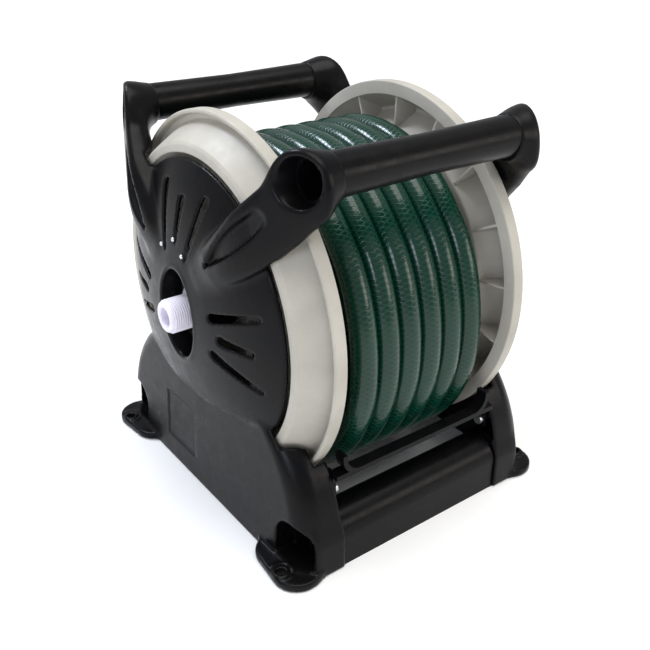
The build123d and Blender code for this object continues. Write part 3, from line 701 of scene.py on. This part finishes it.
def mould_frames():
    """Both side frames: the left one from its field, the right one its opposite hand."""
    low, high = (-141.0, -152.0, -2.5), (-74.5, 152.5, 318.0)     # x, y, z of the grid's corners
    axes = [np.arange(a, b, CELL) for a, b in zip(low, high)]
    x, y, z = np.meshgrid(*axes, indexing="ij", sparse=True)
    field = np.broadcast_to(frame_field(x, y, z), [len(a) for a in axes])
    points, quads = skin_of(field, low, CELL)
    mesh = bpy.data.meshes.new("left_frame_moulding")
    mesh.from_pydata((points * MM).tolist(), [], quads.tolist())
    raw = link(bpy.data.objects.new("left_frame_moulding", mesh))
    soften = raw.modifiers.new("soften", "SMOOTH")
    soften.factor, soften.iterations = 0.5, 2
    thin = raw.modifiers.new("thin", "DECIMATE")
    thin.ratio = min(1.0, FRAME_TRIANGLES / (2 * len(quads)))
    done = settled(raw)
    print("frame quads", len(quads), "to", len(done.polygons))
    opposite = done.copy()
    opposite.transform(Matrix.Scale(-1, 4, (1, 0, 0)))
    opposite.flip_normals()
    bpy.data.objects.remove(raw)
    for name, made, node in (("left_frame_moulding", done, "left_side_frame"),
                             ("right_frame_moulding", opposite, "right_side_frame")):
        made.name = name
        made.shade_smooth()
        made.materials.append(black_pp)
        piece = link(bpy.data.objects.new(name, made))
        place_piece(piece, "frame", "black_polypropylene", node)


# ---- turned pieces ------------------------------------------------------------------------------
def rounded_outline(points, steps=4):
    """A closed outline of (x, r, corner radius) with each corner rounded as far as its sides allow."""
    rounded = []
    for i, (x, r, radius) in enumerate(points):
        here = Vector((x, r))
        back, on = Vector(points[i - 1][:2]) - here, Vector(points[(i + 1) % len(points)][:2]) - here
        turn = back.angle(on)
        if radius <= 0 or turn > 3.1:
            rounded.append((x, r))
            continue
        reach = min(radius / math.tan(turn / 2), 0.45 * back.length, 0.45 * on.length)
        start, end = here + back.normalized() * reach, here + on.normalized() * reach
        for k in range(steps + 1):
            t = k / steps
            rounded.append(tuple(start * (1 - t) ** 2 + here * 2 * t * (1 - t) + end * t ** 2))
    return rounded


def skin_rings(bm, rings):
    """Smooth quads between each ring of points and the next, the last one joined to the first."""
    for ring, beside in zip(rings, rings[1:] + rings[:1]):
        for i in range(len(ring)):
            n = (i + 1) % len(ring)
            bm.faces.new((ring[i], ring[n], beside[n], beside[i])).smooth = True


def turned(name, outline, segments, middle=(0.0, AXIS_Z)):
    """A ring about a line along X through (y, z) middle; the outline is in millimetres."""
    bm = bmesh.new()
    y, z = middle
    rings = []
    for k in range(segments):
        a = 2 * math.pi * k / segments
        rings.append([bm.verts.new((x * MM, y - r * MM * math.sin(a), z + r * MM * math.cos(a)))
                      for x, r in outline])
    skin_rings(bm, rings)
    bmesh.ops.remove_doubles(bm, verts=bm.verts, dist=1e-7)
    bmesh.ops.recalc_face_normals(bm, faces=bm.faces)
    return mesh_of(bm, name)


def ring_of_copies():
    """A node tree that sets copies of a piece in a ring about a line along X, and gives them a material."""
    tree = bpy.data.node_groups.new("ring_of_copies", "GeometryNodeTree")
    face = tree.interface
    face.new_socket("Piece", in_out="INPUT", socket_type="NodeSocketGeometry")
    for name, kind, value in (("Count", "NodeSocketInt", RIB_COUNT), ("First turn", "NodeSocketFloat", 0.0),
                              ("Axis height", "NodeSocketFloat", AXIS_Z),
                              ("Axis depth", "NodeSocketFloat", 0.0)):
        face.new_socket(name, in_out="INPUT", socket_type=kind).default_value = value
    face.new_socket("Finish", in_out="INPUT", socket_type="NodeSocketMaterial")
    face.new_socket("Ring", in_out="OUTPUT", socket_type="NodeSocketGeometry")
    given = add(tree, "NodeGroupInput").outputs
    points = add(tree, "GeometryNodePoints", [(given["Count"], "Count")])
    index = add(tree, "GeometryNodeInputIndex")
    share = add(tree, "ShaderNodeMath", [(index.outputs["Index"], 0), (given["Count"], 1)],
                operation="DIVIDE")
    angle = add(tree, "ShaderNodeMath", [(share.outputs[0], 0), (given["First turn"], 2)],
                operation="MULTIPLY_ADD", in_1=2 * math.pi)
    spin = add(tree, "ShaderNodeCombineXYZ", [(angle.outputs[0], "X")])
    copies = add(tree, "GeometryNodeInstanceOnPoints",
                 [(points.outputs[0], "Points"), (given["Piece"], "Instance"), (spin.outputs[0], "Rotation")])
    lift = add(tree, "ShaderNodeCombineXYZ", [(given["Axis depth"], "Y"), (given["Axis height"], "Z")])
    real = add(tree, "GeometryNodeRealizeInstances", [(copies.outputs[0], 0)])
    moved = add(tree, "GeometryNodeTransform", [(real.outputs[0], 0), (lift.outputs[0], "Translation")])
    painted = add(tree, "GeometryNodeSetMaterial", [(moved.outputs[0], 0), (given["Finish"], "Material")])
    add(tree, "NodeGroupOutput", [(painted.outputs[0], "Ring")])
    return tree


def ring_mesh(tree, name, piece_mesh, finish, **inputs):
    """The ring of copies as a plain mesh."""
    holder = link(bpy.data.objects.new(name, piece_mesh))
    modifier = holder.modifiers.new("ring", "NODES")
    modifier.node_group = tree
    sockets = {s.name: s.identifier for s in tree.interface.items_tree if s.in_out == "INPUT"}
    for key, value in inputs.items():
        modifier[sockets[key.replace("_", " ")]] = value
    modifier[sockets["Finish"]] = finish
    mesh = settled(holder)
    holder.modifiers.clear()
    bpy.data.objects.remove(holder)
    return mesh


def slab(name, outline, half, bevel):
    """A plate across Y with an outline of (x, distance from the axis) and bevelled edges, in millimetres."""
    bm = bmesh.new()
    front = [bm.verts.new((x * MM, -half * MM, r * MM)) for x, r in outline]
    back = [bm.verts.new((x * MM, half * MM, r * MM)) for x, r in outline]
    bm.faces.new(front)
    bm.faces.new(back[::-1])
    for i in range(len(outline)):
        n = (i + 1) % len(outline)
        bm.faces.new((front[n], front[i], back[i], back[n]))
    bmesh.ops.recalc_face_normals(bm, faces=bm.faces)
    bmesh.ops.bevel(bm, geom=list(bm.edges), offset=bevel * MM, segments=2, affect="EDGES", profile=0.6)
    for face in bm.faces:
        face.smooth = True
    return mesh_of(bm, name)


FLANGE_OUTLINE = (      # x from the middle outwards, radius, corner radius
    (68.0, 16.5, 0.5), (68.0, 22.0, 1.0), (79.5, 22.0, 2.0), (79.5, 107.0, 3.0), (102.6, 119.0, 1.5),
    (102.6, 121.9, 1.5), (80.5, 134.2, 1.0), (79.0, 134.2, 0.8), (79.0, 145.0, 1.2), (89.0, 145.0, 1.6),
    (89.0, 141.8, 1.4), (81.9, 141.6, 1.8), (81.9, 137.0, 1.6), (103.9, 124.6, 2.2), (105.6, 122.3, 1.6),
    (105.6, 116.5, 1.2), (102.9, 116.5, 0.8), (82.5, 104.5, 2.0), (82.5, 16.5, 0.5))
RIB_OUTLINE = ((80.0, 105.6), (102.8, 117.6), (102.9, 122.8), (81.0, 135.0))
RIB_COUNT = 17
RIB_HALF, RIB_BEVEL = 0.9, 0.35


def make_flanges(ring_tree):
    """Each flange: web, cone, band and rim in one turned wall, with its ribs across the hollow."""
    for side, name in ((-1, "left_flange"), (1, "right_flange")):
        wall = turned(name, [(side * x, r) for x, r in rounded_outline(FLANGE_OUTLINE)], 240)
        wall.materials.append(grey_pp)
        rib = slab("rib", [(side * x, r) for x, r in RIB_OUTLINE], RIB_HALF, RIB_BEVEL)
        ribs = ring_mesh(ring_tree, "ribs", rib, grey_pp, Count=RIB_COUNT)
        mesh = joined(name + "_moulding", wall, ribs)
        mesh.materials.append(grey_pp)
        piece = link(bpy.data.objects.new(name + "_moulding", mesh))
        place_piece(piece, "drum", "grey_polypropylene", name)


THREAD_PITCH, THREAD_CREST, THREAD_DEPTH = 1.814, 13.2, 1.15     # 3/4 inch pipe thread
THREAD_START, THREAD_END = -137.6, -117.0
THREAD_STEPS = 10       # points along one pitch
THREAD_FADE_IN, THREAD_FADE_OUT = 1.6, 2.2
INLET_MOUTH = ((-121.0, 7.5), (-137.9, 7.5), (-138.6, 7.9), (-139.0, 8.8), (-139.0, 10.9), (-138.4, 11.7))
INLET_REST = (          # collar, journal, groove of the clip, tip with its two O-ring grooves, bore
    (-116.0, 12.1), (-115.4, 12.4), (-115.0, 13.0), (-115.0, 17.2), (-114.3, 18.0), (-111.7, 18.0),
    (-111.0, 17.3), (-111.0, 13.1), (-110.5, 13.0), (-87.0, 13.0), (-87.0, 11.4), (-85.6, 11.4),
    (-85.6, 13.0), (-70.0, 13.0), (-69.4, 12.4), (-69.0, 11.0), (-66.0, 11.0), (-66.0, 9.6),
    (-63.8, 9.6), (-63.8, 11.0), (-61.5, 11.0), (-61.5, 9.6), (-59.3, 9.6), (-59.3, 11.0),
    (-57.0, 11.0), (-56.5, 10.5), (-56.5, 7.5), (-90.0, 7.5))


def thread_outline(share):
    """The thread's outline at a share of a turn: it fades in at the mouth and out at the collar."""
    step = THREAD_PITCH / THREAD_STEPS
    outline = []
    for i in range(int((THREAD_END - THREAD_START) / step) + 1):
        x = THREAD_START + i * step
        tooth = 1 - abs(2 * (((x - THREAD_START) / THREAD_PITCH + share) % 1.0) - 1)
        fade = smoothstep((x - THREAD_START) / THREAD_FADE_IN)
        fade *= smoothstep((THREAD_END - x) / THREAD_FADE_OUT)
        outline.append((x, THREAD_CREST - THREAD_DEPTH + THREAD_DEPTH * min(1.0, tooth * 1.25) * fade))
    return outline


def make_inlet():
    """The inlet spindle: pipe thread outside, thick rim, plain bore, collar and the tip with its grooves."""
    segments = 128
    bm = bmesh.new()
    rings = []
    for k in range(segments):
        a = 2 * math.pi * k / segments
        outline = [*INLET_MOUTH, *thread_outline(k / segments), *INLET_REST]
        rings.append([bm.verts.new((x * MM, -r * MM * math.sin(a), AXIS_Z + r * MM * math.cos(a)))
                      for x, r in outline])
    skin_rings(bm, rings)
    bmesh.ops.recalc_face_normals(bm, faces=bm.faces)
    mesh = mesh_of(bm, "inlet_spindle_threaded", acetal)
    piece = link(bpy.data.objects.new("inlet_spindle_threaded", mesh))
    place_piece(piece, "frame", "white_acetal", "inlet_spindle")


CONNECTOR_OUTLINE = (   # along the hose, radius, corner radius
    (0, 5.0, 0), (0, 11.6, 1.0), (1.2, 12.5, 0.6), (18.8, 12.5, 0.6), (20.0, 10.8, 0.6), (26.0, 10.5, 0.6),
    (27.5, 12.3, 0.8), (50.5, 12.3, 1.2), (52.0, 11.4, 0.6), (52.0, 8.0, 0.6), (30.0, 8.0, 0.4),
    (30.0, 5.0, 0))
GRIP_OUTLINE = ((2.5, 12.2), (17.5, 12.2), (17.0, 13.0), (3.0, 13.0))
GRIP_COUNT = 18
GRIP_HALF, GRIP_BEVEL = 0.5, 0.15


def make_hose_connector(ring_tree):
    """The quick connector on the hose's end: ribbed nut, waist and grip collar with an open mouth."""
    body = turned("connector", rounded_outline(CONNECTOR_OUTLINE), 72, (0.0, 0.0))
    bump = slab("grip", GRIP_OUTLINE, GRIP_HALF, GRIP_BEVEL)
    grips = ring_mesh(ring_tree, "grips", bump, connector_abs, Count=GRIP_COUNT, Axis_height=0.0)
    mesh = joined("hose_end_connector_moulding", body, grips)
    centre = round_point(wound_x(END_TURN), END_TURN, layer_r(END_TURN))
    a = math.radians(END_TURN)
    along, out = Vector((0, -math.cos(a), -math.sin(a))), Vector((0, -math.sin(a), math.cos(a)))
    across = out.cross(along)
    place = Matrix((along, across, out)).transposed().to_4x4()
    mesh.transform(Matrix.Translation(centre) @ place)
    mesh.materials.append(connector_abs)
    piece = link(bpy.data.objects.new("hose_end_connector_moulding", mesh))
    return place_piece(piece, "drum", "connector_plastic", "hose_end_connector")


BLIND_SCREWS = (        # y, z and how far out: three by the top vents, one at the tip of the front arm's leaf
    (20.5, 217.2, 126.2), (3.0, 225.8, 125.1), (-10.5, 217.2, 126.2), (-46.4, 222.6, 120.5))
BLIND_HEAD = (          # from the head's seat outwards, radius, corner radius
    (-3.0, 0.05, 0), (0.2, 0.05, 0), (0.2, 0.5, 0), (0.7, 0.7, 0.1), (0.7, 1.3, 0.2), (0.0, 1.7, 0.2),
    (-3.0, 1.7, 0))


def make_blind_screws():
    """The small bright screws of both frames, as one piece."""
    heads = []
    for side in (-1, 1):
        for y, z, u in BLIND_SCREWS:
            outline = rounded_outline([(side * (u + out), r, corner) for out, r, corner in BLIND_HEAD])
            heads.append(turned("head", outline, 24, (y * MM, z * MM)))
    mesh = joined("blind_screws", *heads)
    mesh.materials.append(zinc)
    place_piece(link(bpy.data.objects.new("blind_screws", mesh)), "frame", "zinc_steel")


set_camera()
set_light()
lay_floor()
finish_nodes()
ring_tree = ring_of_copies()
wind_hose(make_hose_connector(ring_tree))
mould_frames()
make_flanges(ring_tree)
make_inlet()
make_blind_screws()
